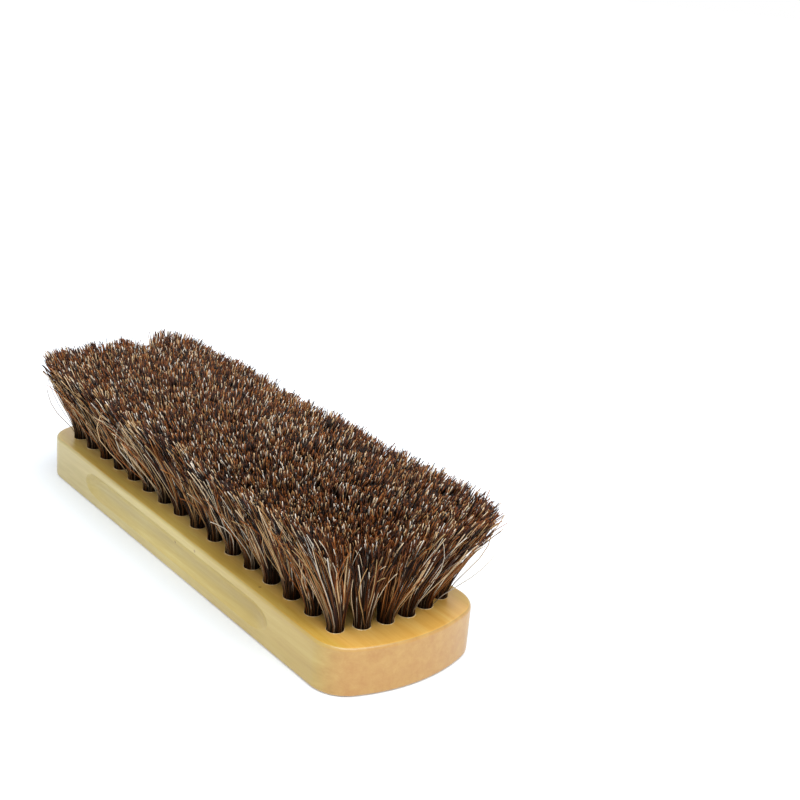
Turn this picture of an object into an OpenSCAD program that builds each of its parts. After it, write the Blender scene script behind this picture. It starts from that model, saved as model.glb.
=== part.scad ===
// Shoe shine brush: a hardwood block, drilled with rows of blind holes, and
// in each hole a folded tuft of horsehair that a wire staple pins down.
// It lies on its flat back with the bristles up. The origin is the centre of
// the back, X runs along the block, and all sizes are in millimetres.

/* [Block] */
// Length over the two bowed ends
block_l = 175; // [165:1:190]
// Width over the two long sides
block_w = 50; // [48:1:60]
// Thickness from the back to the face that holds the tufts
block_t = 14; // [13:0.5:20]
// How far each end bows out in the middle
end_bow = 6.7; // [4:0.1:10]
// Radius of the four corners, seen from above
corner_r = 10.8; // [6:0.2:14]
// Radius that breaks every edge
edge_r = 1; // [0.5:0.1:1.5]

/* [Finger grooves] */
// Length of the groove in each long side, with its run-outs
groove_l = 108; // [80:1:120]
// Height of the groove where it opens in the side
groove_w = 8; // [6:0.2:9]
// Depth of the groove
groove_d = 2.4; // [1.2:0.1:3]
// Height of the groove's middle above the back
groove_z = 7.5; // [6:0.1:8]
// Radius of the disc cutter that leaves the run-outs
cutter_r = 24; // [16:1:40]

/* [Tuft holes] */
// Rows along the block
row_count = 16; // [12:1:18]
// Tufts in each row, across the block
tuft_count = 6; // [4:1:6]
// Wood from the end of the block to the middle of the last row
end_margin = 11; // [9:0.5:14]
// Wood from the long side to the middle of the outer holes
side_margin = 7.5; // [6.5:0.5:10]
// Diameter of a drilled hole
hole_d = 4.6; // [4:0.1:5]
// Depth of a drilled hole
hole_depth = 8.5; // [6:0.5:9]

/* [Staples] */
// Width of the flat wire
wire_w = 0.9; // [0.6:0.1:1.2]
// Thickness of the flat wire
wire_t = 0.5; // [0.4:0.05:0.7]
// Distance between the middles of the two legs
leg_span = 3; // [2.6:0.1:3.4]
// How deep the legs are driven into the floor of the hole
leg_depth = 2; // [1:0.25:2.5]
// Hair that the staple's crown pins to the floor
pinned_hair = 0.6; // [0.4:0.1:1.2]

/* [Bristles] */
// Height of the trimmed bristles above the face
bristle_l = 28.5; // [20:0.5:34]
// Height to which a tuft stays bundled above the face
bundle_l = 1.5; // [1:0.25:4]
// How far the end tufts lean out past their holes
lean_l = 7; // [2:0.5:10]
// How far the side tufts lean out past their holes
lean_w = 8; // [2:0.5:10]
// Width of a strand where it leaves the bundle
strand_root = 1.4; // [0.8:0.05:1.45]
// Width of a strand at its thickest
strand_belly = 2; // [1.2:0.1:2.2]
// Unevenness of the trimmed tips
trim_step = 1.5; // [0:0.25:3]

/* [Fits] */
// Clearance between a tuft and its hole, at the side and the floor
tuft_fit = 0.05; // [0.02:0.01:0.1]
// Clearance round a staple, in the hair and in the wood
wire_fit = 0.03; // [0.02:0.01:0.05]

/* [Hidden] */
$fn = 48;
row_names = [for (row = [1 : row_count]) str("tuft_row_", row < 10 ? "0" : "", row)];

half_l = block_l / 2;
half_w = block_w / 2;
face_z = block_t;
floor_z = face_z - hole_depth;

// The end is one arc, tangent to the corners, and the corners to the sides
end_r = (half_w * half_w + end_bow * end_bow) / (2 * end_bow);
end_x = half_l - end_r;
corner_y = half_w - corner_r;
corner_x = end_x + sqrt(pow(end_r - corner_r, 2) - corner_y * corner_y);
end_angle = atan2(corner_y, corner_x - end_x);
corner_steps = 8;
end_steps = 14;
edge_steps = 4;

// The cutter's rim is an arc that gives the groove its height and depth
cove_r = (groove_w * groove_w / 4 + groove_d * groove_d) / (2 * groove_d);
cove_y = half_w - groove_d + cove_r;
rim_r = cutter_r - cove_r;
run_out = sqrt(cutter_r * cutter_r - pow(cutter_r - groove_d, 2));
run_angle = asin(run_out / cutter_r) * 1.5;
groove_straight = groove_l - 2 * run_out;
overlap = 0.01;

// The rows follow the bow of the block's ends
last_y = half_w - side_margin;
last_x = half_l - end_margin;
row_bow = end_r - sqrt(end_r * end_r - last_y * last_y);
row_pitch = 2 * last_x / (row_count - 1);
tuft_pitch = 2 * last_y / (tuft_count - 1);

crown_z = floor_z + pinned_hair + wire_t / 2;
leg_tip_z = floor_z - leg_depth;
elbow_r = wire_t;
elbow_steps = 4;

// Five strands stand for the hair of a tuft: one in its middle, four round it
strand_sides = 3;
strand_count = 5;
// Each ring of a strand: share of its height, and its width there
strand_rings = [[0, strand_root], [0.45, strand_belly], [0.9, 0.75 * strand_belly]];
// A tuft stands straight at its root and leans more and more towards its tips
lean_power = 1.4;
// Radius that the four outer strands leave the bundle on, well inside its skin
root_spread = hole_d / 2 - tuft_fit - strand_root / 2 - 0.12;
// The same at the tips, as a share of half the space that a tuft has there
tip_fill = 0.78;
strand_seat = 0.5;

function arc_points(centre, r, from, to, steps) =
    [for (k = [0 : steps]) let (a = from + (to - from) * k / steps) centre + r * [cos(a), sin(a)]];
function rest(points) = [for (k = [1 : len(points) - 1]) points[k]];

// Faces of a stack of rings of n points each, that runs upwards anticlockwise
function bottom_faces(n) = [for (k = [1 : n - 2]) [0, k, k + 1]];
function band_faces(n, rings) = [for (k = [0 : rings - 2]) for (s = [0 : n - 1])
    let (a = k * n + s, b = k * n + (s + 1) % n)
    each [[a, a + n, b], [b, a + n, b + n]]];
function top_faces(n, rings) =
    let (first = (rings - 1) * n) [for (k = [1 : n - 2]) [first, first + k + 1, first + k]];

// The block's outline, drawn in all round: corner, end and corner, and the same turned round
function half_outline(inset) =
    concat(
        arc_points([corner_x, -corner_y], corner_r - inset, -90, -end_angle, corner_steps),
        rest(arc_points([end_x, 0], end_r - inset, -end_angle, end_angle, end_steps)),
        rest(arc_points([corner_x, corner_y], corner_r - inset, end_angle, 90, corner_steps)));
function outline_ring(inset, z) =
    let (half = half_outline(inset))
    [for (side = [1, -1]) for (point = half) [side * point[0], side * point[1], z]];

// The edges of both faces are quarter rounds
module block_body() {
    edge = [for (k = [0 : edge_steps]) let (a = 90 * k / edge_steps) edge_r * [1 - sin(a), 1 - cos(a)]];
    lower = [for (step = edge) outline_ring(step[0], step[1])];
    upper = [for (k = [edge_steps : -1 : 0]) outline_ring(edge[k][0], block_t - edge[k][1])];
    rings = concat(lower, upper);
    n = len(rings[0]);
    polyhedron(
        points = [for (ring = rings) each ring],
        faces = concat(bottom_faces(n), band_faces(n, len(rings)), top_faces(n, len(rings))));
}

// What the disc cutter takes out of the side at +Y: each half is a straight
// pass and the run-out that the rim leaves where the cutter backs away
module finger_groove() {
    for (end = [0, 1])
        mirror([end, 0, 0]) {
            translate([-overlap, cove_y, groove_z])
                rotate([0, 90, 0])
                    cylinder(r = cove_r, h = groove_straight / 2 + overlap);
            translate([groove_straight / 2, cove_y + rim_r, groove_z])
                rotate([0, 0, -90])
                    rotate_extrude(angle = run_angle)
                        translate([rim_r, 0])
                            circle(r = cove_r);
        }
}

function hole_y(tuft) = (tuft - (tuft_count - 1) / 2) * tuft_pitch;
function bow_share(y) = 1 - row_bow / last_x * pow(y / last_y, 2);
function hole_x(row, tuft) = (row - (row_count - 1) / 2) * row_pitch * bow_share(hole_y(tuft));
function hole_at(row, tuft) = [hole_x(row, tuft), hole_y(tuft)];

module at_each_hole() {
    for (row = [0 : row_count - 1])
        for (tuft = [0 : tuft_count - 1])
            translate(hole_at(row, tuft))
                children();
}

module drilled_hole() {
    translate([0, 0, floor_z])
        cylinder(d = hole_d, h = hole_depth + 1);
    slot_t = wire_t + 2 * wire_fit;
    slot_w = wire_w + 2 * wire_fit;
    for (side = [-1, 1])
        translate([side * leg_span / 2 - slot_t / 2, -slot_w / 2, leg_tip_z - wire_fit])
            cube([slot_t, slot_w, leg_depth + 1]);
}

module block() {
    color("#dcb97c")
        difference() {
            block_body();
            for (side = [0, 1])
                mirror([0, side, 0])
                    finger_groove();
            at_each_hole()
                drilled_hole();
        }
}

// Half a staple, seen from its side and grown all round: crown, elbow and pointed leg
function half_staple(grow) =
    let (t = wire_t / 2 + grow,
         centre = [leg_span / 2 - elbow_r, crown_z - elbow_r],
         leg_x = leg_span / 2)
    concat(
        arc_points(centre, elbow_r + t, 90, 0, elbow_steps),
        [[leg_x + t, leg_tip_z + wire_t], [leg_x, leg_tip_z - grow], [leg_x - t, leg_tip_z + wire_t]],
        arc_points(centre, elbow_r - t, 0, 90, elbow_steps));

function mirrored(points) = [for (k = [len(points) - 1 : -1 : 0]) [-points[k][0], points[k][1]]];

module staple(grow) {
    rotate([90, 0, 0])
        linear_extrude(wire_w + 2 * grow, center = true)
            polygon(concat(half_staple(grow), mirrored(half_staple(grow))));
}

module staples() {
    color("#b9bcc0")
        at_each_hole()
            staple(0);
}

// The bundled root of a tuft fills its hole, round the staple
module bundle() {
    difference() {
        translate([0, 0, floor_z + tuft_fit])
            cylinder(d = hole_d - 2 * tuft_fit, h = hole_depth - tuft_fit + bundle_l);
        staple(wire_fit);
    }
}

function scaled(place, by) = [place[0] * by[0], place[1] * by[1]];
function lean_at(hole) = scaled(hole, [lean_l / last_x, lean_w / last_y]);
function tip_space() = [row_pitch * (1 + lean_l / last_x), tuft_pitch * (1 + lean_w / last_y)] / 2;
function uneven(number) = (1 + sin(number * 137.5)) / 2;

// Centre of a strand at a level, from 0 at its seat to 1 at its tip
function strand_centre(place, hole, level, top) =
    let (lean = pow(level, lean_power),
         root = place * root_spread,
         tip = scaled(place, tip_space()) * tip_fill + lean_at(hole),
         seat = face_z + bundle_l - strand_seat)
    concat(root + (tip - root) * lean, [seat + (top - seat) * level]);

function strand_ring(place, hole, ring, top, turn) =
    let (centre = strand_centre(place, hole, ring[0], top), r = ring[1] / 2)
    [for (k = [0 : strand_sides - 1])
        let (a = turn + k * 360 / strand_sides) centre + r * [cos(a), sin(a), 0]];

// One strand, in the frame of its hole: place is its direction in the tuft
module strand(place, hole, number) {
    top = face_z + bristle_l - trim_step * uneven(number);
    n = strand_sides;
    last = len(strand_rings) - 1;
    ring_points = [for (ring = strand_rings) each strand_ring(place, hole, ring, top, number * 47)];
    tip_faces = [for (s = [0 : n - 1]) [last * n + s, (last + 1) * n, last * n + (s + 1) % n]];
    polyhedron(
        points = concat(ring_points, [strand_centre(place, hole, 1, top)]),
        faces = concat(bottom_faces(n), band_faces(n, last + 1), tip_faces));
}

module tuft(row, tuft) {
    hole = hole_at(row, tuft);
    number = (row * tuft_count + tuft) * strand_count;
    translate(hole) {
        bundle();
        strand([0, 0], hole, number);
        for (k = [1 : strand_count - 1])
            let (a = k * 360 / (strand_count - 1) + 45 + 30 * sin(number * 61))
            strand([cos(a), sin(a)], hole, number + k);
    }
}

module tuft_row(row) {
    color("#4d3325")
        for (tuft = [0 : tuft_count - 1])
            tuft(row, tuft);
}

block();
for (row = [0 : row_count - 1])
    tuft_row(row);
staples();
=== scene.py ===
import math

import bpy
import numpy as np
from mathutils import Matrix, Vector


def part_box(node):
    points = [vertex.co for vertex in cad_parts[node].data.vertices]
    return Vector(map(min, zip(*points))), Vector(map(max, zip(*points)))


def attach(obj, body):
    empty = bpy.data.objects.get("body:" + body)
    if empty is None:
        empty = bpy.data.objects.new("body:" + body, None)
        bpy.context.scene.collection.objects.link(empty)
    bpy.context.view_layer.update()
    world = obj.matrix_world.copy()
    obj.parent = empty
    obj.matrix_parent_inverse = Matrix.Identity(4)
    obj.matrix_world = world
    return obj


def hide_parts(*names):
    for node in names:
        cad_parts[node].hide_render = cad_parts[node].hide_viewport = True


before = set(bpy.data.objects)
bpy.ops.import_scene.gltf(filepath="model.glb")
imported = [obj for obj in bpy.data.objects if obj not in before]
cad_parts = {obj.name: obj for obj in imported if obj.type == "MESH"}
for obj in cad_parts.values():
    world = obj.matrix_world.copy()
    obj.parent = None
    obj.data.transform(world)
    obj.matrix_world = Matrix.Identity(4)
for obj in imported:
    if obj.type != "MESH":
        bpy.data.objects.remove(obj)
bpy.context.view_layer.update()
mm = 0.001
nearZero = 1e-6  # metres, for points that should fall together


# Helpers for selecting, modifiers and materials
def deselectAll():
    if bpy.context.object and bpy.context.object.mode != "OBJECT":
        bpy.ops.object.mode_set(mode="OBJECT")
    bpy.ops.object.select_all(action="DESELECT")


def pickOnly(piece):
    deselectAll()
    piece.select_set(True)
    bpy.context.view_layer.objects.active = piece


def pick(piece, kind, test):
    # in edit mode: selects the vertices, edges or faces that pass the test, and nothing else
    bpy.ops.mesh.select_mode(type=kind)
    bpy.ops.object.mode_set(mode="OBJECT")
    mesh = piece.data
    for part in (mesh.vertices, mesh.edges, mesh.polygons):
        part.foreach_set("select", [False] * len(part))
    for item in {"VERT": mesh.vertices, "EDGE": mesh.edges, "FACE": mesh.polygons}[kind]:
        item.select = bool(test(item))
    bpy.ops.object.mode_set(mode="EDIT")


def applyPlace(piece):
    pickOnly(piece)
    bpy.ops.object.transform_apply(location=True, rotation=True, scale=True)


def addModifier(piece, kind, **settings):
    pickOnly(piece)
    bpy.ops.object.modifier_add(type=kind)
    modifier = piece.modifiers[-1]
    for name, value in settings.items():
        setattr(modifier, name, value)
    bpy.ops.object.modifier_apply(modifier=modifier.name)


def hexColour(code):
    parts = [int(code[k:k + 2], 16) / 255 for k in (1, 3, 5)]
    return [c / 12.92 if c <= 0.04045 else ((c + 0.055) / 1.055) ** 2.4 for c in parts] + [1]


def newMaterial(name):
    material = bpy.data.materials.new(name)
    material.use_nodes = True
    material.node_tree.nodes.clear()
    return material


def addNode(material, kind, settings=None, inputs=None):
    # inputs holds plain values and sockets to link; stops is a colour ramp's list
    node = material.node_tree.nodes.new(kind)
    for name, value in (settings or {}).items():
        if name == "stops":
            ramp = node.color_ramp
            while len(ramp.elements) < len(value):
                ramp.elements.new(0.5)
            for stop, (place, colour) in zip(ramp.elements, value):
                stop.position, stop.color = place, hexColour(colour)
        else:
            setattr(node, name, value)
    for name, value in (inputs or {}).items():
        if isinstance(value, bpy.types.NodeSocket):
            material.node_tree.links.new(value, node.inputs[name])
        else:
            node.inputs[name].default_value = value
    return node


# The photo's view
view = {
    "place": (286.881, -186.691, 172.844),  # mm, solved from the corners of the block
    "azimuth": 49.28,
    "elevation": 19.39,
    "roll": 5.29,
    "lens": 54.815,
    "sensor": 36,
}


def addCamera():
    azimuth, elevation, roll = (math.radians(view[k]) for k in ("azimuth", "elevation", "roll"))
    back = Vector((math.sin(azimuth) * math.cos(elevation),
                   -math.cos(azimuth) * math.cos(elevation), math.sin(elevation)))
    right = (-back).cross(Vector((0, 0, 1))).normalized()
    up = right.cross(-back)
    side = right * math.cos(roll) + up * math.sin(roll)
    top = up * math.cos(roll) - right * math.sin(roll)
    turn = Matrix((side, top, back)).transposed().to_4x4()
    lens = bpy.data.cameras.new("camera")
    lens.lens, lens.sensor_width, lens.sensor_fit = view["lens"], view["sensor"], "AUTO"
    camera = bpy.data.objects.new("camera", lens)
    bpy.context.scene.collection.objects.link(camera)
    camera.matrix_world = Matrix.Translation(Vector(view["place"]) * mm) @ turn
    bpy.context.scene.camera = camera


addCamera()
print("camera placed")


# The wooden block
block = {
    "endBow": 6.7 * mm,  # how far each end bows out
    "cornerRadius": 10.8 * mm,
    "edgeRadius": 1.0 * mm,
    "cornerSteps": 16,
    "endSteps": 28,
    "edgeSteps": 4,
}
groove = {
    "length": 108 * mm,
    "width": 8 * mm,
    "depth": 2.4 * mm,
    "height": 7.5 * mm,  # its middle above the back
    "cutterRadius": 24 * mm,  # disc cutter that leaves the run-outs
    "overrun": 1.5,  # how far the cutter is spun, to be clear of the block
    "sides": 64,
    "runSteps": 20,
}
holes = {
    "rows": 16,
    "perRow": 6,
    "endMargin": 11 * mm,
    "sideMargin": 7.5 * mm,
    "diameter": 4.6 * mm,
    "depth": 8.5 * mm,
    "brokenEdge": 0.12 * mm,
    "neck": 1.6,  # length and flare of the drill's neck, in broken edges
    "burrWidth": 0.32 * mm,  # pale torn fibres that the drill raises round the rim
    "burrHeight": 0.16 * mm,
    "burrSteps": 26,
    "burrSwell": (0.25, 1.15),  # narrowest and widest, in shares of the width
    "burrSeed": 7,
    "sides": 32,
}

blockLow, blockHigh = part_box("block")
halfLength, halfWidth, faceZ = blockHigh.x, blockHigh.y, blockHigh.z
endRadius = (halfWidth ** 2 + block["endBow"] ** 2) / (2 * block["endBow"])
endX = halfLength - endRadius
lastX = halfLength - holes["endMargin"]
lastY = halfWidth - holes["sideMargin"]
rowBow = endRadius - math.sqrt(endRadius ** 2 - lastY ** 2)  # the rows follow the bow of the ends
rowPitch = 2 * lastX / (holes["rows"] - 1)
tuftPitch = 2 * lastY / (holes["perRow"] - 1)


def holePlace(row, tuft):
    y = (tuft - (holes["perRow"] - 1) / 2) * tuftPitch
    x = (row - (holes["rows"] - 1) / 2) * rowPitch * (1 - rowBow / lastX * (y / lastY) ** 2)
    return x, y


def modelOutline():
    # one vertex spun round a corner, the end and the other corner, then the same turned round
    cornerY = halfWidth - block["cornerRadius"]
    cornerX = endX + math.sqrt((endRadius - block["cornerRadius"]) ** 2 - cornerY ** 2)
    endAngle = math.atan2(cornerY, cornerX - endX)
    deselectAll()
    bpy.ops.mesh.primitive_plane_add(size=mm, location=(cornerX, -halfWidth, 0))
    piece = bpy.context.object
    applyPlace(piece)
    bpy.ops.object.mode_set(mode="EDIT")
    bpy.ops.mesh.select_all(action="SELECT")
    bpy.ops.mesh.merge(type="CENTER")
    turns = (
        (math.pi / 2 - endAngle, (cornerX, -cornerY, 0), block["cornerSteps"]),
        (2 * endAngle, (endX, 0, 0), block["endSteps"]),
        (math.pi / 2 - endAngle, (cornerX, cornerY, 0), block["cornerSteps"]),
    )
    corner = Vector((cornerX, -halfWidth, 0))
    for angle, centre, steps in turns:
        pick(piece, "VERT", lambda vert: (vert.co - corner).length < nearZero)
        # without a window a spin turns the other way
        bpy.ops.mesh.spin(steps=steps, angle=-angle, center=centre, axis=(0, 0, 1))
        corner = Matrix.Rotation(angle, 3, "Z") @ (corner - Vector(centre)) + Vector(centre)
    bpy.ops.mesh.select_all(action="SELECT")
    bpy.ops.mesh.duplicate()
    bpy.ops.transform.rotate(value=math.pi, orient_axis="Z", center_override=(0, 0, 0))
    for side in (-1, 1):
        pick(piece, "VERT", lambda vert: abs(vert.co.y - side * halfWidth) < nearZero)
        bpy.ops.mesh.edge_face_add()
    bpy.ops.mesh.select_all(action="SELECT")
    bpy.ops.mesh.edge_face_add()
    return piece


def modelGrooveCutter():
    # a round bar with its two ends spun away from the block, as the disc cutter leaves it
    barRadius = (groove["width"] ** 2 / 4 + groove["depth"] ** 2) / (2 * groove["depth"])
    barY = halfWidth - groove["depth"] + barRadius
    rim = groove["cutterRadius"] - barRadius
    runOut = math.sqrt(groove["cutterRadius"] ** 2 - (groove["cutterRadius"] - groove["depth"]) ** 2)
    angle = math.asin(runOut / groove["cutterRadius"]) * groove["overrun"]
    half = groove["length"] / 2 - runOut
    deselectAll()
    bpy.ops.mesh.primitive_circle_add(
        vertices=groove["sides"], radius=barRadius, fill_type="NGON",
        location=(-half, barY, groove["height"]), rotation=(0, math.pi / 2, 0))
    cutter = bpy.context.object
    applyPlace(cutter)
    bpy.ops.object.mode_set(mode="EDIT")
    bpy.ops.mesh.select_all(action="SELECT")
    bpy.ops.mesh.extrude_region_move(TRANSFORM_OT_translate={"value": (2 * half, 0, 0)})
    for end in (1, -1):
        pick(cutter, "FACE", lambda face: abs(face.center.x - end * half) < nearZero)
        bpy.ops.mesh.spin(
            steps=groove["runSteps"], angle=-end * angle,
            center=(end * half, barY + rim, groove["height"]), axis=(0, 0, 1))
    bpy.ops.mesh.select_all(action="SELECT")
    bpy.ops.mesh.remove_doubles(threshold=nearZero)
    bpy.ops.mesh.normals_make_consistent(inside=False)
    return cutter


def modelDrills():
    # a drill with a flared neck, copied to every hole
    radius = holes["diameter"] / 2
    deselectAll()
    bpy.ops.mesh.primitive_cylinder_add(
        vertices=holes["sides"], radius=radius, depth=holes["depth"],
        location=(0, 0, faceZ - holes["depth"] / 2))
    drill = bpy.context.object
    applyPlace(drill)
    bpy.ops.object.mode_set(mode="EDIT")
    pick(drill, "FACE", lambda face: face.normal.z > 0.9)
    bpy.ops.transform.translate(value=(0, 0, -holes["brokenEdge"]))
    flare = 1 + holes["neck"] * holes["brokenEdge"] / radius
    bpy.ops.mesh.extrude_region_move(
        TRANSFORM_OT_translate={"value": (0, 0, holes["neck"] * holes["brokenEdge"])})
    bpy.ops.transform.resize(value=(flare, flare, 1), center_override=(0, 0, faceZ))
    bpy.ops.object.mode_set(mode="OBJECT")
    copies = []
    for row in range(holes["rows"]):
        for tuft in range(holes["perRow"]):
            copy = drill.copy()
            copy.data = drill.data.copy()
            copy.location = (*holePlace(row, tuft), 0)
            bpy.context.scene.collection.objects.link(copy)
            copies.append(copy)
    deselectAll()
    for copy in copies + [drill]:
        copy.select_set(True)
    bpy.context.view_layer.objects.active = copies[0]
    drill.select_set(False)
    bpy.ops.object.join()
    bpy.data.objects.remove(drill)
    drills = bpy.context.object
    applyPlace(drills)
    return drills


def cutAway(piece, cutter):
    bpy.ops.object.mode_set(mode="OBJECT")
    addModifier(piece, "BOOLEAN", operation="DIFFERENCE", solver="EXACT", object=cutter)
    bpy.data.objects.remove(cutter)


def modelBlock():
    piece = modelOutline()
    bpy.ops.mesh.extrude_region_move(TRANSFORM_OT_translate={"value": (0, 0, faceZ)})
    bpy.ops.mesh.select_all(action="SELECT")
    bpy.ops.mesh.normals_make_consistent(inside=False)
    verts = piece.data.vertices

    def isLevel(edge):
        start, end = (verts[k].co.z for k in edge.vertices)
        return abs(start - end) < nearZero

    pick(piece, "EDGE", isLevel)
    bpy.ops.mesh.bevel(offset=block["edgeRadius"], segments=block["edgeSteps"], profile=0.5, affect="EDGES")
    for side in (1, -1):
        cutter = modelGrooveCutter()
        if side < 0:
            bpy.ops.transform.resize(value=(1, -1, 1), center_override=(0, 0, 0))
            bpy.ops.mesh.select_all(action="SELECT")
            bpy.ops.mesh.normals_make_consistent(inside=False)
        cutAway(piece, cutter)
    cutAway(piece, modelDrills())
    piece.name = piece.data.name = "lacquered_block"
    return piece


blockPiece = modelBlock()
print("block modelled,", len(blockPiece.data.polygons), "faces")


# Finishes of the wood, the hair and the staples
def newShader(material, settings, inputs):
    shader = addNode(material, "ShaderNodeBsdfPrincipled", settings, inputs)
    addNode(material, "ShaderNodeOutputMaterial", {}, {"Surface": shader.outputs[0]})
    return shader


lacquer = {
    "streakLength": 38 * mm,  # growth streaks run along the block
    "streakWidth": 2.6 * mm,
    "fibreLength": 9 * mm,
    "fibreWidth": 0.45 * mm,  # vessels are 0.1 mm wide, drawn coarser to show
    "cloudSize": 45 * mm,
    "speckPitch": 9 * mm,
    "speckSize": 0.035,  # share of the pitch
    "fibreDepth": 0.02 * mm,
}


def makeLacqueredWood():
    # Plain pale hardwood, sanded round and dipped in clear lacquer: a honey colour with faint streaks along the
    # block, a pinker, speckled end grain, the face painted golden, the sides olive and the back paler as painted
    # light and shade by the way each face turns, painted shade on the face beside the hair, and a satin gloss
    # over all.
    wood = newMaterial("lacquered hardwood")
    place = addNode(wood, "ShaderNodeTexCoord")
    streakPlace = addNode(wood, "ShaderNodeMapping", {}, {
        "Vector": place.outputs["Object"],
        "Scale": (1 / lacquer["streakLength"], 1 / lacquer["streakWidth"], 1 / lacquer["streakWidth"])})
    streaks = addNode(wood, "ShaderNodeTexNoise", {}, {
        "Vector": streakPlace.outputs[0], "Scale": 1.0, "Detail": 5.0, "Roughness": 0.62, "Distortion": 0.35})
    fibrePlace = addNode(wood, "ShaderNodeMapping", {}, {
        "Vector": place.outputs["Object"],
        "Scale": (1 / lacquer["fibreLength"], 1 / lacquer["fibreWidth"], 1 / lacquer["fibreWidth"])})
    fibres = addNode(wood, "ShaderNodeTexNoise", {}, {
        "Vector": fibrePlace.outputs[0], "Scale": 1.0, "Detail": 3.0, "Roughness": 0.7})
    clouds = addNode(wood, "ShaderNodeTexNoise", {}, {
        "Vector": place.outputs["Object"], "Scale": 1 / lacquer["cloudSize"], "Detail": 2.0})
    grain = addNode(wood, "ShaderNodeMath", {"operation": "MULTIPLY_ADD"}, {
        0: fibres.outputs["Fac"], 1: 0.35, 2: streaks.outputs["Fac"]})
    mixed = addNode(wood, "ShaderNodeMath", {"operation": "MULTIPLY_ADD"}, {
        0: clouds.outputs["Fac"], 1: 0.3, 2: grain.outputs[0]})
    tone = addNode(wood, "ShaderNodeMapRange", {}, {
        "Value": mixed.outputs[0], "From Min": 0.6, "From Max": 1.05})
    # painted light and shade: the side and face ramps are shaded and lit copies of one wood, picked by the way
    # each face turns
    side = addNode(wood, "ShaderNodeValToRGB", {"stops": [
        (0.0, "#b7a463"), (0.35, "#c0ad6d"), (0.65, "#c5b475"), (1.0, "#cbbd82")]}, {"Fac": tone.outputs[0]})
    face = addNode(wood, "ShaderNodeValToRGB", {"stops": [
        (0.0, "#e8b966"), (0.35, "#f1c777"), (0.65, "#f6cf82"), (1.0, "#fadb96")]}, {"Fac": tone.outputs[0]})
    across = addNode(wood, "ShaderNodeValToRGB", {"stops": [
        (0.0, "#c59c69"), (0.4, "#cba773"), (0.7, "#cfae7a"), (1.0, "#d4b583")]}, {"Fac": tone.outputs[0]})
    # painted light: the back, which faces the floor, is painted paler, as if lit from above
    back = addNode(wood, "ShaderNodeValToRGB", {"stops": [
        (0.0, "#dfbd8c"), (0.35, "#e8c899"), (0.65, "#edd0a4"), (1.0, "#f2dab4")]}, {"Fac": tone.outputs[0]})
    normal = addNode(wood, "ShaderNodeNewGeometry")
    turned = addNode(wood, "ShaderNodeSeparateXYZ", {}, {0: normal.outputs["Normal"]})
    spot = addNode(wood, "ShaderNodeSeparateXYZ", {}, {0: place.outputs["Object"]})
    endways = addNode(wood, "ShaderNodeMath", {"operation": "ABSOLUTE"}, {0: turned.outputs[0]})
    outwards = addNode(wood, "ShaderNodeMath", {"operation": "ABSOLUTE"}, {0: spot.outputs[0]})
    ends = addNode(wood, "ShaderNodeMapRange", {}, {
        "Value": outwards.outputs[0], "From Min": halfLength - 22 * mm, "From Max": halfLength - 16 * mm})
    endShare = addNode(wood, "ShaderNodeMapRange", {"interpolation_type": "SMOOTHSTEP"}, {
        "Value": endways.outputs[0], "From Min": 0.06, "From Max": 0.9, "To Max": ends.outputs[0]})
    upper = addNode(wood, "ShaderNodeMapRange", {}, {
        "Value": spot.outputs[2], "From Min": faceZ - 2 * mm, "From Max": faceZ - 1 * mm})
    lower = addNode(wood, "ShaderNodeMapRange", {}, {
        "Value": spot.outputs[2], "From Min": 2 * mm, "From Max": 1 * mm})
    # where the painted face and back colours take over
    paintedFaceShare = addNode(wood, "ShaderNodeMapRange", {"interpolation_type": "SMOOTHSTEP"}, {
        "Value": turned.outputs[2], "From Min": 0.85, "From Max": 0.99, "To Max": upper.outputs[0]})
    paintedBackShare = addNode(wood, "ShaderNodeMapRange", {"interpolation_type": "SMOOTHSTEP"}, {
        "Value": turned.outputs[2], "From Min": -0.2, "From Max": -0.9, "To Max": lower.outputs[0]})
    ended = addNode(wood, "ShaderNodeMix", {"data_type": "RGBA"}, {
        0: endShare.outputs[0], 6: side.outputs[0], 7: across.outputs[0]})
    # painted shade: the face is darkened in a strip along each long side, where the overhanging hair shades it
    edgeways = addNode(wood, "ShaderNodeMath", {"operation": "ABSOLUTE"}, {0: spot.outputs[1]})
    hairShadeStrip = addNode(wood, "ShaderNodeMapRange", {}, {
        "Value": edgeways.outputs[0], "From Min": halfWidth - 6 * mm, "From Max": halfWidth - 3 * mm})
    paintedHairShade = addNode(wood, "ShaderNodeMix", {"data_type": "RGBA", "blend_type": "MULTIPLY"}, {
        0: hairShadeStrip.outputs[0], 6: face.outputs[0], 7: hexColour("#e9edcd")})
    faced = addNode(wood, "ShaderNodeMix", {"data_type": "RGBA"}, {
        0: paintedFaceShare.outputs[0], 6: ended.outputs[2], 7: paintedHairShade.outputs[2]})
    body = addNode(wood, "ShaderNodeMix", {"data_type": "RGBA"}, {
        0: paintedBackShare.outputs[0], 6: faced.outputs[2], 7: back.outputs[0]})
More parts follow.
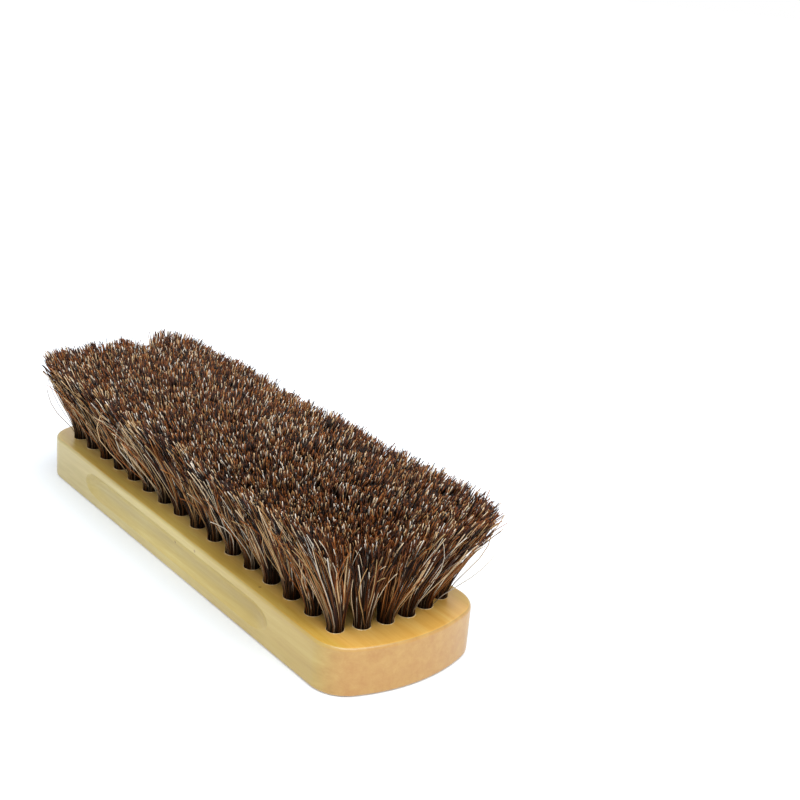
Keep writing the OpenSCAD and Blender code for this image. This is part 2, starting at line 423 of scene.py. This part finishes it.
    # the colour shifts along the block: bluer and paler towards the far end, yellower and darker towards the
    # near end
    along = addNode(wood, "ShaderNodeMapRange", {}, {
        "Value": spot.outputs[0], "From Min": -halfLength, "From Max": halfLength})
    tintAlong = addNode(wood, "ShaderNodeValToRGB", {"stops": [
        (0.0, "#eceff6"), (0.5, "#fffff7"), (1.0, "#e2d1a6")]}, {"Fac": along.outputs[0]})
    tintedAlong = addNode(wood, "ShaderNodeMix", {"data_type": "RGBA", "blend_type": "MULTIPLY"}, {
        0: 1.0, 6: body.outputs[2], 7: tintAlong.outputs[0]})
    cells = addNode(wood, "ShaderNodeTexVoronoi", {}, {
        "Vector": place.outputs["Object"], "Scale": 1 / lacquer["speckPitch"], "Randomness": 1.0})
    speck = addNode(wood, "ShaderNodeMapRange", {}, {
        "Value": cells.outputs["Distance"], "From Min": lacquer["speckSize"],
        "From Max": lacquer["speckSize"] * 1.8, "To Min": 0.55, "To Max": 0.0})
    speckled = addNode(wood, "ShaderNodeMix", {"data_type": "RGBA"}, {
        0: speck.outputs[0], 6: tintedAlong.outputs[2], 7: hexColour("#7a5230")})
    bump = addNode(wood, "ShaderNodeBump", {}, {
        "Strength": 0.5, "Distance": lacquer["fibreDepth"], "Height": fibres.outputs["Fac"]})
    gloss = addNode(wood, "ShaderNodeMapRange", {}, {
        "Value": streaks.outputs["Fac"], "To Min": 0.34, "To Max": 0.46})
    newShader(wood, {}, {
        "Base Color": speckled.outputs[2], "Roughness": gloss.outputs[0], "IOR": 1.5,
        "Coat Weight": 0.35, "Coat Roughness": 0.22, "Coat IOR": 1.5, "Normal": bump.outputs[0]})
    return wood


def makeBareWood():
    # The same wood where the drill broke through the lacquer: paler, dry and fuzzy.
    bare = newMaterial("bare drilled wood")
    place = addNode(bare, "ShaderNodeTexCoord")
    fuzz = addNode(bare, "ShaderNodeTexNoise", {}, {
        "Vector": place.outputs["Object"], "Scale": 1 / (0.6 * mm), "Detail": 3.0})
    colour = addNode(bare, "ShaderNodeValToRGB", {"stops": [
        (0.3, "#c9a468"), (0.5, "#e3c690"), (0.75, "#f2e0b8")]}, {"Fac": fuzz.outputs["Fac"]})
    bump = addNode(bare, "ShaderNodeBump", {}, {
        "Strength": 0.6, "Distance": 0.05 * mm, "Height": fuzz.outputs["Fac"]})
    newShader(bare, {}, {
        "Base Color": colour.outputs[0], "Roughness": 0.85, "IOR": 1.5, "Normal": bump.outputs[0]})
    return bare


def makeHorsehair():
    # Natural horsehair, washed and cut: black-brown and chestnut hairs with a grey-blond one here and
    # there, a soft shine along each hair. The map runs over the hairs' tones and from shade to light.
    hairs = newMaterial("mixed horsehair")
    place = addNode(hairs, "ShaderNodeTexCoord")
    parts = addNode(hairs, "ShaderNodeSeparateXYZ", {}, {0: place.outputs["UV"]})
    colour = addNode(hairs, "ShaderNodeValToRGB", {"stops": [
        (0.0, "#080605"), (0.25, "#190e09"), (0.46, "#3f2213"), (0.65, "#6f3f1d"),
        (0.81, "#a36933"), (0.885, "#bda273"), (0.935, "#e1dcc9"), (1.0, "#ffffff")]}, {"Fac": parts.outputs[0]})
    spread = addNode(hairs, "ShaderNodeMapping", {}, {
        "Vector": place.outputs["UV"], "Scale": (70, 1.5, 1)})
    mottle = addNode(hairs, "ShaderNodeTexNoise", {}, {
        "Vector": spread.outputs[0], "Scale": 1.0, "Detail": 1.0})
    warmth = addNode(hairs, "ShaderNodeValToRGB", {"stops": [
        (0.3, "#ccd0d6"), (0.5, "#eee6de"), (0.7, "#ffe8d2")]}, {"Fac": mottle.outputs["Fac"]})
    tinted = addNode(hairs, "ShaderNodeMix", {"data_type": "RGBA", "blend_type": "MULTIPLY"}, {
        0: 1.0, 6: colour.outputs[0], 7: warmth.outputs[0]})
    # painted shade: the map's second axis darkens each hair from its lit tip down to its root
    rootShade = addNode(hairs, "ShaderNodeValToRGB", {"stops": [
        (0.0, "#3c332d"), (0.45, "#a0948a"), (0.9, "#ffffff")]}, {"Fac": parts.outputs[1]})
    shaded = addNode(hairs, "ShaderNodeMix", {"data_type": "RGBA", "blend_type": "MULTIPLY"}, {
        0: 1.0, 6: tinted.outputs[2], 7: rootShade.outputs[0]})
    newShader(hairs, {}, {
        "Base Color": shaded.outputs[2], "Roughness": 0.42, "IOR": 1.55, "Specular IOR Level": 0.16})
    return hairs


def makeStapleSteel():
    # Flat steel wire, drawn bright and cut: grey, with fine lines along the wire.
    steel = newMaterial("drawn steel wire")
    place = addNode(steel, "ShaderNodeTexCoord")
    drawn = addNode(steel, "ShaderNodeMapping", {}, {
        "Vector": place.outputs["Object"], "Scale": (1 / (3 * mm), 1 / (0.08 * mm), 1 / (0.4 * mm))})
    lines = addNode(steel, "ShaderNodeTexNoise", {}, {
        "Vector": drawn.outputs[0], "Scale": 1.0, "Detail": 2.0})
    colour = addNode(steel, "ShaderNodeValToRGB", {"stops": [
        (0.3, "#8f9296"), (0.7, "#c4c7ca")]}, {"Fac": lines.outputs["Fac"]})
    gloss = addNode(steel, "ShaderNodeMapRange", {}, {
        "Value": lines.outputs["Fac"], "To Min": 0.25, "To Max": 0.45})
    newShader(steel, {}, {"Base Color": colour.outputs[0], "Metallic": 1.0, "Roughness": gloss.outputs[0]})
    return steel


lacqueredWood, bareWood = makeLacqueredWood(), makeBareWood()
horsehair, stapleSteel = makeHorsehair(), makeStapleSteel()

holePlaces = np.array([
    holePlace(row, tuft) for row in range(holes["rows"]) for tuft in range(holes["perRow"])])


def modelBurrs():
    # a ring of torn fibres round each hole, uneven in width and height
    random = np.random.default_rng(holes["burrSeed"])
    steps = holes["burrSteps"]
    deselectAll()
    bpy.ops.mesh.primitive_torus_add(
        major_segments=steps, minor_segments=5, location=(0, 0, 0),
        major_radius=holes["diameter"] / 2 + holes["burrWidth"] / 2, minor_radius=holes["burrWidth"] / 2)
    ring = bpy.context.object
    bpy.ops.object.mode_set(mode="EDIT")
    bpy.ops.mesh.select_all(action="SELECT")
    bpy.ops.transform.resize(value=(1, 1, holes["burrHeight"] / holes["burrWidth"] * 2))
    bpy.ops.object.mode_set(mode="OBJECT")
    rings = []
    for place in holePlaces:
        copy = ring.copy()
        copy.data = ring.data.copy()
        swell = random.uniform(*holes["burrSwell"], steps)
        for vert in copy.data.vertices:
            x, y, z = vert.co
            width = swell[round(math.atan2(y, x) / (2 * math.pi) * steps) % steps]
            radius = math.hypot(x, y)
            out = holes["diameter"] / 2 + (radius - holes["diameter"] / 2) * width
            vert.co = x * out / radius, y * out / radius, z * width
        copy.location = (*place, faceZ)
        bpy.context.scene.collection.objects.link(copy)
        rings.append(copy)
    bpy.data.objects.remove(ring)
    deselectAll()
    for copy in rings:
        copy.select_set(True)
    bpy.context.view_layer.objects.active = rings[0]
    bpy.ops.object.join()
    burrs = bpy.context.object
    applyPlace(burrs)
    burrs.data.materials.append(bareWood)
    bpy.ops.object.shade_smooth()
    return burrs


def finishBlock():
    mesh = blockPiece.data
    mesh.materials.append(lacqueredWood)
    mesh.materials.append(bareWood)
    reach = holes["diameter"] / 2 + holes["brokenEdge"]
    for face in mesh.polygons:
        gap = np.hypot(*(holePlaces - face.center[:2]).T).min()
        inHole = gap < reach and 1 * mm < face.center.z < faceZ - 0.01 * mm
        face.material_index = int(inHole)  # the bare wood
    pickOnly(blockPiece)
    bpy.ops.object.shade_smooth_by_angle(angle=math.radians(32))
    addModifier(blockPiece, "WEIGHTED_NORMAL", weight=60, keep_sharp=True)
    burrs = modelBurrs()
    pickOnly(blockPiece)
    burrs.select_set(True)
    bpy.ops.object.join()
    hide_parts("block")
    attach(blockPiece, "root")


finishBlock()
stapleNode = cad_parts["staples"]
stapleNode.data.materials.clear()
stapleNode.data.materials.append(stapleSteel)
print("wood and steel finished")


# Hair by hair, one mesh for each row of tufts
hair = {
    "seed": 61,
    "perTuft": 420,
    "locks": 15,  # small locks that the hairs of a tuft cling together in
    "cling": 0.4,
    "lockDrift": 0.5 * mm,
    "radius": 0.165 * mm,  # real hairs are 0.1 to 0.2 mm across, drawn thicker to show
    "uneven": (0.7, 1.3),  # thinnest and thickest hair, in shares of the radius
    "levels": (0, 0.12, 0.28, 0.46, 0.64, 0.8, 0.93, 1),
    "thickness": (0.8, 0.9, 1, 1, 1, 0.95, 0.88, 0.7),  # of the hair at each level
    "seat": 12.6 * mm,  # the hairs start inside the bundled root
    "top": 42 * mm,
    "waveX": (0.35 * mm, 9 * mm),  # height and length of the slow waves of the trimmed face
    "waveY": (0.3 * mm, 6 * mm),
    "rootSpread": 2.2 * mm,
    "straight": 0.12,  # share of the height that stays bundled
    "leanPower": 1.3,
    "leanX": 7 * mm,  # how far the end tufts lean out
    "leanY": 8 * mm,
    "fill": 1.08,  # of the space that a tuft has at its tips
    "jitter": 0.5 * mm,
    "bend": 0.45 * mm,
    "tipCurl": 1.1 * mm,
    "trim": 0.6 * mm,
    "shortShare": 0.3,
    "shorter": (0.5, 6),  # mm
}
bundle = {
    "play": 0.06 * mm,  # between the bundled root and its hole
    "sides": 20,
    "aboveSeat": 0.7 * mm,
    "domeEdge": 0.5 * mm,
    "domeRise": 0.25 * mm,
    "slot": (3.7 * mm, 1 * mm, 1.4 * mm),  # room for the staple
    "slotHeight": 0.5 * mm,
    "tone": 0.12,
}
tips = {
    "nearLength": 91,  # mm from the middle of the brush to its outermost tips
    "farLength": 88.6,
    "nearWidth": 30,
    "farWidth": 27.8,  # the far side leans less in its middle
    "farFlare": 2.6,
    "flareAt": 88 * mm,
    "squareness": 9,
    "wornSquareness": 3.6,  # one corner is worn rounder than the others
    "drawnFrom": 0.95,  # share of the way out, past which the tips are drawn in
    "drawnIn": 0.9,
    "outerFrom": 0.84,  # where the outside of the brush starts
    "outerOver": 0.1,
    "nearSideFrom": 24 * mm,
}
parting = {
    "farEnd": 88 * mm,
    "length": 10 * mm,
    "aside": 11 * mm,
    "depth": 7 * mm,
    "width": 2.3 * mm,
    "push": 2.2 * mm,  # the hair beside it is pushed away
    "pushWidth": 3 * mm,
    "rise": 2 * mm,  # the corner beyond it stands higher
    "riseX": 84 * mm,
    "riseY": 21 * mm,
    "riseLength": 9 * mm,
    "riseWidth": 6 * mm,
}
strays = {
    "share": 0.02,
    "outerShare": 0.065,  # more of them on the outside of the brush
    "nearSideShare": 0.015,
    "bend": 1.5 * mm,
    "reach": 2.1 * mm,
    "shorter": (0.2, 6),  # mm
    "thickness": 0.8,
    "tones": (0.76, 0.98),
}
tones = {  # 0 is near black, 0.6 chestnut and 1 white
    "brown": 0.67,  # the ends and the far side are browner and more even
    "brownPull": 0.32,
    "brownUpTo": 0.84,
    "darkShare": 0.5,  # the near side has more near black hairs and fewer chestnut ones
    "darker": 0.76,
    "darkUpTo": 0.88,
    "paleLocks": 0.13,  # and a few grey-blond locks
    "paleShare": 0.5,
    "pale": (0.86, 0.94),
}
# painted shade: how far down each hair is painted dark, inside the brush and at the roots outside it
shades = {
    "tipsFrom": 0.83,  # hair inside the brush is dark below its tips
    "tipsPower": 1.8,
    "root": 0.12,  # hair on the outside shows its colour nearly down to the root
    "rootUpTo": 0.45,
}


def takeApart(piece):
    # a piece's points, the corners of its faces one after another, and each face's number of them
    mesh = piece.data
    points = np.array([vert.co for vert in mesh.vertices])
    corners = np.array([k for face in mesh.polygons for k in face.vertices])
    sizes = np.array([len(face.vertices) for face in mesh.polygons])
    bpy.data.objects.remove(piece)
    return points, corners, sizes


def modelOneHair():
    # three-sided, one metre high and across, in seven steps; every hair is a bent copy of it
    deselectAll()
    bpy.ops.mesh.primitive_circle_add(vertices=3, radius=1, fill_type="NGON")
    piece = bpy.context.object
    bpy.ops.object.mode_set(mode="EDIT")
    bpy.ops.mesh.select_all(action="SELECT")
    for lower, upper in zip(hair["levels"], hair["levels"][1:]):
        bpy.ops.mesh.extrude_region_move(TRANSFORM_OT_translate={"value": (0, 0, upper - lower)})
    bpy.ops.mesh.select_all(action="SELECT")
    bpy.ops.mesh.normals_make_consistent(inside=False)
    bpy.ops.object.mode_set(mode="OBJECT")
    return takeApart(piece)


def modelOneRoot():
    # the folded and bundled root of a tuft, slotted for its staple
    radius = holes["diameter"] / 2 - bundle["play"]
    floorZ = faceZ - holes["depth"] + bundle["play"]
    deselectAll()
    bpy.ops.mesh.primitive_cylinder_add(
        vertices=bundle["sides"], radius=radius, depth=hair["seat"] + bundle["aboveSeat"] - floorZ,
        location=(0, 0, (hair["seat"] + bundle["aboveSeat"] + floorZ) / 2))
    piece = bpy.context.object
    applyPlace(piece)
    bpy.ops.object.mode_set(mode="EDIT")
    pick(piece, "FACE", lambda face: face.normal.z > 0.9)
    bpy.ops.mesh.inset(thickness=bundle["domeEdge"])
    bpy.ops.transform.translate(value=(0, 0, bundle["domeRise"]))
    bpy.ops.object.mode_set(mode="OBJECT")
    deselectAll()
    bpy.ops.mesh.primitive_cube_add(size=1, location=(0, 0, floorZ + bundle["slotHeight"]))
    slot = bpy.context.object
    slot.scale = bundle["slot"]
    applyPlace(slot)
    cutAway(piece, slot)
    return takeApart(piece)


def unit(vectors):
    return vectors / np.linalg.norm(vectors, axis=-1, keepdims=True)


def discPlace(square):
    # moves points of a square to a disc, so that neighbours at the tips are neighbours at the root
    x, y = square.T
    return np.stack([x * np.sqrt(1 - y * y / 2), y * np.sqrt(1 - x * x / 2)], 1)


def combed(tip):
    # slow waves that the hairs lie in, in millimetres
    x, y = tip.T / mm
    along = 0.7 * np.sin(x / 4.7 + 1.1 * np.sin(y / 6.3)) + 0.5 * np.sin(y / 3.9 + x / 11)
    aside = 0.6 * np.sin(y / 4.1 + 0.9 * np.sin(x / 7.7)) + 0.5 * np.sin(x / 5.9 - y / 9)
    return np.stack([along, aside], 1) * mm


def plantHairs(row, random):
    # where each hair leaves its hole, and the place and height of its tip
    perRow, perTuft = holes["perRow"], hair["perTuft"]
    count = perTuft * perRow
    hole = np.repeat([holePlace(row, tuft) for tuft in range(perRow)], perTuft, axis=0)
    spot = random.uniform(-1, 1, (count, 2))
    root = hole + discPlace(spot) * hair["rootSpread"]
    lean = 1 + np.array([hair["leanX"] / lastX, hair["leanY"] / lastY])
    space = np.array([rowPitch, tuftPitch]) * lean / 2
    tip = hole * lean + spot * space * hair["fill"]
    # each hair is drawn towards the nearest lock of its tuft
    lockSpots = random.uniform(-1, 1, (perRow, hair["locks"], 2))
    lockDrift = random.normal(0, hair["lockDrift"], (perRow, hair["locks"], 3))
    tuft = np.repeat(np.arange(perRow), perTuft)
    lock = np.linalg.norm(lockSpots[tuft] - spot[:, None], axis=2).argmin(1)
    pull = (lockSpots[tuft, lock] - spot) * space * hair["cling"]
    tip += pull * random.uniform(0.4, 1, (count, 1))
    tip += lockDrift[tuft, lock, :2] + random.normal(0, hair["jitter"], (count, 2))
    top = hair["top"] + lockDrift[tuft, lock, 2]
    top += hair["waveX"][0] * np.sin(tip[:, 0] / hair["waveX"][1])
    top += hair["waveY"][0] * np.sin(tip[:, 1] / hair["waveY"][1] + 1)
    top += random.normal(0, hair["trim"], count)
    tip += combed(tip)
    return root, tip, top, (tuft, lock)


def drawIn(tip):
    # keeps the tips inside the brush's rounded outline and tells how far out each one is
    worn = (tip[:, 0] > 0) & (tip[:, 1] < 0)
    power = np.where(worn, tips["wornSquareness"], tips["squareness"])
    flared = tips["farWidth"] + tips["farFlare"] * (tip[:, 0] / tips["flareAt"]) ** 2
    wide = np.where(tip[:, 1] > 0, flared, tips["nearWidth"]) * mm
    long = np.where(tip[:, 0] > 0, tips["nearLength"], tips["farLength"]) * mm
    reach = (np.abs(tip[:, 0] / long) ** power + np.abs(tip[:, 1] / wide) ** power) ** (1 / power)
    tip /= (1 + tips["drawnIn"] * np.maximum(reach - tips["drawnFrom"], 0))[:, None]
    return reach


def partHair(tip, top):
    # the hairs part at the far end
    aside = tip[:, 1] - parting["aside"]
    near = np.exp(-((tip[:, 0] + parting["farEnd"]) / parting["length"]) ** 2)
    top -= parting["depth"] * near * np.exp(-(aside / parting["width"]) ** 2)
    tip[:, 1] += np.sign(aside) * parting["push"] * near * np.exp(-np.abs(aside) / parting["pushWidth"])
    fromX = (tip[:, 0] + parting["riseX"]) / parting["riseLength"]
    fromY = (tip[:, 1] - parting["riseY"]) / parting["riseWidth"]
    top += parting["rise"] * np.exp(-fromX ** 2 - fromY ** 2)


def hairTones(random, outer, nearSide, locks, stray):
    count = len(outer)
    tone = random.uniform(0, 1, count)
    browned = ~nearSide & (tone < tones["brownUpTo"])
    tone += (tones["brown"] - tone) * tones["brownPull"] * outer * browned
    dark = random.uniform(size=count) < tones["darkShare"] * outer * nearSide
    tone[dark & (tone <= tones["darkUpTo"])] *= tones["darker"]
    paleLocks = random.uniform(size=(holes["perRow"], hair["locks"])) < tones["paleLocks"]
    pale = random.uniform(size=count) < tones["paleShare"] * outer * nearSide
    pale &= paleLocks[locks]
    tone[pale] = random.uniform(*tones["pale"], pale.sum())
    tone[stray] = random.uniform(*strays["tones"], stray.sum())
    return tone


# painted shade for each hair at each level, standing in for the shade inside the brush
def hairShades(outer):
    level = np.array(hair["levels"])[None]
    inside = np.clip((level - shades["tipsFrom"]) / (1 - shades["tipsFrom"]), 0, 1) ** shades["tipsPower"]
    outside = shades["root"] + (1 - shades["root"]) * np.clip(level / shades["rootUpTo"], 0, 1)
    shade = inside + (outside - inside) * outer[:, None]
    return 0.02 + 0.96 * shade + 0.01 * level  # clear of the map's edges, and no two levels on one spot


def hairPaths(row, random):
    root, tip, top, locks = plantHairs(row, random)
    count = len(root)
    reach = drawIn(tip)
    partHair(tip, top)
    short = random.uniform(size=count) < hair["shortShare"]
    top -= short * random.uniform(*hair["shorter"], count) * mm
    bend = random.normal(0, hair["bend"], (count, 2))
    sway = random.normal(0, hair["bend"] / 2, (count, 2))
    curl = random.normal(0, hair["tipCurl"], (count, 2))
    outer = np.clip((reach - tips["outerFrom"]) / tips["outerOver"], 0, 1)
    nearSide = tip[:, 1] < -tips["nearSideFrom"]
    strayShare = strays["share"] + outer * (strays["outerShare"] + strays["nearSideShare"] * nearSide)
    stray = random.uniform(size=count) < strayShare
    bend[stray] = random.normal(0, strays["bend"], (stray.sum(), 2))
    tip[stray] += random.normal(0, strays["reach"], (stray.sum(), 2))
    top[stray] -= random.uniform(*strays["shorter"], stray.sum()) * mm
    # straight at first, then leaning out to the tip, with a bend, a sway and a curl of its own
    level = np.array(hair["levels"])[None, :, None]
    lean = (np.clip(level - hair["straight"], 0, 1) / (1 - hair["straight"])) ** hair["leanPower"]
    flat = root[:, None] + (tip - root)[:, None] * lean
    flat += bend[:, None] * np.sin(math.pi * level ** 1.6) + sway[:, None] * np.sin(2 * math.pi * level) * level
    flat += curl[:, None] * level ** 5
    rise = hair["seat"] + (top[:, None, None] - hair["seat"]) * level
    tone = hairTones(random, outer, nearSide, locks, stray)
    return np.concatenate([flat, rise], 2), tone, hairShades(outer), stray & (outer > 0)


def nearestLevel(points):
    return np.abs(points[:, 2][:, None] - np.array(hair["levels"])[None]).argmin(1)


def bendCopies(points, paths, size, turn):
    # every point of the one hair goes to its level on every path
    along = unit(np.gradient(paths, np.array(hair["levels"]), axis=1))
    facing = np.stack([np.cos(turn), np.sin(turn), np.zeros(len(paths))], 1)[:, None]
    side = unit(facing - (facing * along).sum(2, keepdims=True) * along)
    front = np.cross(along, side)
    level = nearestLevel(points)
    width = size[:, None, None] * np.array(hair["thickness"])[level][None, :, None] * hair["radius"]
    x, y = points[:, 0][None, :, None], points[:, 1][None, :, None]
    return paths[:, level] + width * (side[:, level] * x + front[:, level] * y)


def buildMesh(name, points, corners, sizes, places):
    mesh = bpy.data.meshes.new(name)
    mesh.vertices.add(len(points))
    mesh.vertices.foreach_set("co", points.astype(np.float32).ravel())
    mesh.loops.add(len(corners))
    mesh.loops.foreach_set("vertex_index", corners.astype(np.int32))
    mesh.polygons.add(len(sizes))
    mesh.polygons.foreach_set("loop_start", np.concatenate([[0], np.cumsum(sizes)[:-1]]).astype(np.int32))
    mesh.polygons.foreach_set("use_smooth", np.ones(len(sizes), bool))
    mesh.update(calc_edges=True)
    mesh.uv_layers.new(name="OFBake").data.foreach_set("uv", places.astype(np.float32).ravel())
    mesh.validate()
    mesh.materials.append(horsehair)
    return mesh


def growRow(row, oneHair, oneRoot):
    random = np.random.default_rng(hair["seed"] + row)
    paths, tone, shade, fine = hairPaths(row, random)
    size = random.uniform(*hair["uneven"], len(paths)) * np.where(fine, strays["thickness"], 1)
    turn = random.uniform(0, 2 * math.pi, len(paths))
    points, corners, sizes = oneHair
    hairPoints = bendCopies(points, paths, size, turn).reshape(-1, 3)
    hairCorners = corners[None] + (np.arange(len(paths)) * len(points))[:, None]
    # the map runs over the hairs' tones, and from the shade of the root to the lit tip
    mapX = tone[:, None] * 0.96 + 0.02 + 0.004 * points[corners, 0][None]
    mapY = shade[:, nearestLevel(points[corners])]
    hairMap = np.stack([mapX.ravel(), mapY.ravel()], 1)
    # the six bundled roots
    perRow = holes["perRow"]
    points, corners, rootSizes = oneRoot
    rootPoints = np.concatenate([points + (*holePlace(row, tuft), 0) for tuft in range(perRow)])
    rootCorners = corners[None] + (len(hairPoints) + np.arange(perRow) * len(points))[:, None]
    # the bundled roots take a near-black tone and deep painted shade
    rootMap = np.tile(bundle["tone"] + 0.02 * points[corners][:, [0, 2]] / holes["depth"], (perRow, 1))
    mesh = buildMesh(
        "tuft_row_hair_%02d" % (row + 1),
        np.concatenate([hairPoints, rootPoints]),
        np.concatenate([hairCorners.ravel(), rootCorners.ravel()]),
        np.concatenate([np.tile(sizes, len(paths)), np.tile(rootSizes, perRow)]),
        np.concatenate([hairMap, rootMap]))
    piece = bpy.data.objects.new(mesh.name, mesh)
    bpy.context.scene.collection.objects.link(piece)
    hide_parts("tuft_row_%02d" % (row + 1))
    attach(piece, "root")
    return piece


oneHair, oneRoot = modelOneHair(), modelOneRoot()
hairRows = [growRow(row, oneHair, oneRoot) for row in range(holes["rows"])]
print("hair grown,", sum(len(piece.data.polygons) for piece in hairRows), "faces")


# White floor and soft light
studio = {
    "floorSize": 30,
    "floor": "#fafafa",
    "floorSeen": "#dadee2",  # the camera sees the lit paper just at white, so that the shadow shows
    "floorGlow": (0.15, 0.17, 0.19),  # for the camera alone
    "glowFrom": 0.12,  # more of it far away, where the lamp fades
    "glowTo": 1.0,
    "glowFar": 4.5,
    "skyLight": 0.65,
    "boxSize": 0.9,
    "boxPlace": (0.28, -0.06, 1.05),
    "boxPower": 16,
}


def addFloor():
    deselectAll()
    bpy.ops.mesh.primitive_plane_add(size=studio["floorSize"])
    floor = bpy.context.object
    floor.name = "studio_floor"
    paper = newMaterial("white paper sweep")
    path = addNode(paper, "ShaderNodeLightPath")
    looked = addNode(paper, "ShaderNodeMath", {"operation": "MAXIMUM"}, {
        0: path.outputs["Is Camera Ray"], 1: path.outputs["Is Glossy Ray"]})
    colour = addNode(paper, "ShaderNodeMix", {"data_type": "RGBA"}, {
        0: looked.outputs[0], 6: hexColour(studio["floor"]), 7: hexColour(studio["floorSeen"])})
    lit = addNode(paper, "ShaderNodeBsdfDiffuse", {}, {"Color": colour.outputs[2]})
    place = addNode(paper, "ShaderNodeTexCoord")
    away = addNode(paper, "ShaderNodeVectorMath", {"operation": "LENGTH"}, {0: place.outputs["Object"]})
    level = addNode(paper, "ShaderNodeMapRange", {}, {
        "Value": away.outputs["Value"], "From Min": studio["glowFrom"], "From Max": studio["glowTo"],
        "To Min": 1.0, "To Max": studio["glowFar"]})
    seen = addNode(paper, "ShaderNodeMath", {"operation": "MULTIPLY"}, {
        0: looked.outputs[0], 1: level.outputs[0]})
    glow = addNode(paper, "ShaderNodeEmission", {}, {
        "Color": (*studio["floorGlow"], 1), "Strength": seen.outputs[0]})
    both = addNode(paper, "ShaderNodeAddShader", {}, {0: lit.outputs[0], 1: glow.outputs[0]})
    addNode(paper, "ShaderNodeOutputMaterial", {}, {"Surface": both.outputs[0]})
    floor.data.materials.append(paper)


def addLight():
    world = bpy.context.scene.world or bpy.data.worlds.new("studio")
    bpy.context.scene.world = world
    world.use_nodes = True
    world.node_tree.nodes.clear()
    path = addNode(world, "ShaderNodeLightPath")
    seen = addNode(world, "ShaderNodeMath", {"operation": "MAXIMUM"}, {
        0: path.outputs["Is Camera Ray"], 1: path.outputs["Is Glossy Ray"]})
    level = addNode(world, "ShaderNodeMapRange", {}, {"Value": seen.outputs[0], "To Min": studio["skyLight"]})
    background = addNode(world, "ShaderNodeBackground", {}, {
        "Color": (1, 1, 1, 1), "Strength": level.outputs[0]})
    addNode(world, "ShaderNodeOutputWorld", {}, {"Surface": background.outputs[0]})
    lamp = bpy.data.lights.new("softbox", "AREA")
    lamp.energy, lamp.size = studio["boxPower"], studio["boxSize"]
    softbox = bpy.data.objects.new("softbox", lamp)
    bpy.context.scene.collection.objects.link(softbox)
    place = Vector(studio["boxPlace"])
    softbox.matrix_world = Matrix.Translation(place) @ place.to_track_quat("Z", "Y").to_matrix().to_4x4()


addFloor()
addLight()
bpy.context.scene.view_settings.view_transform = "Standard"
print("floor and light in place")
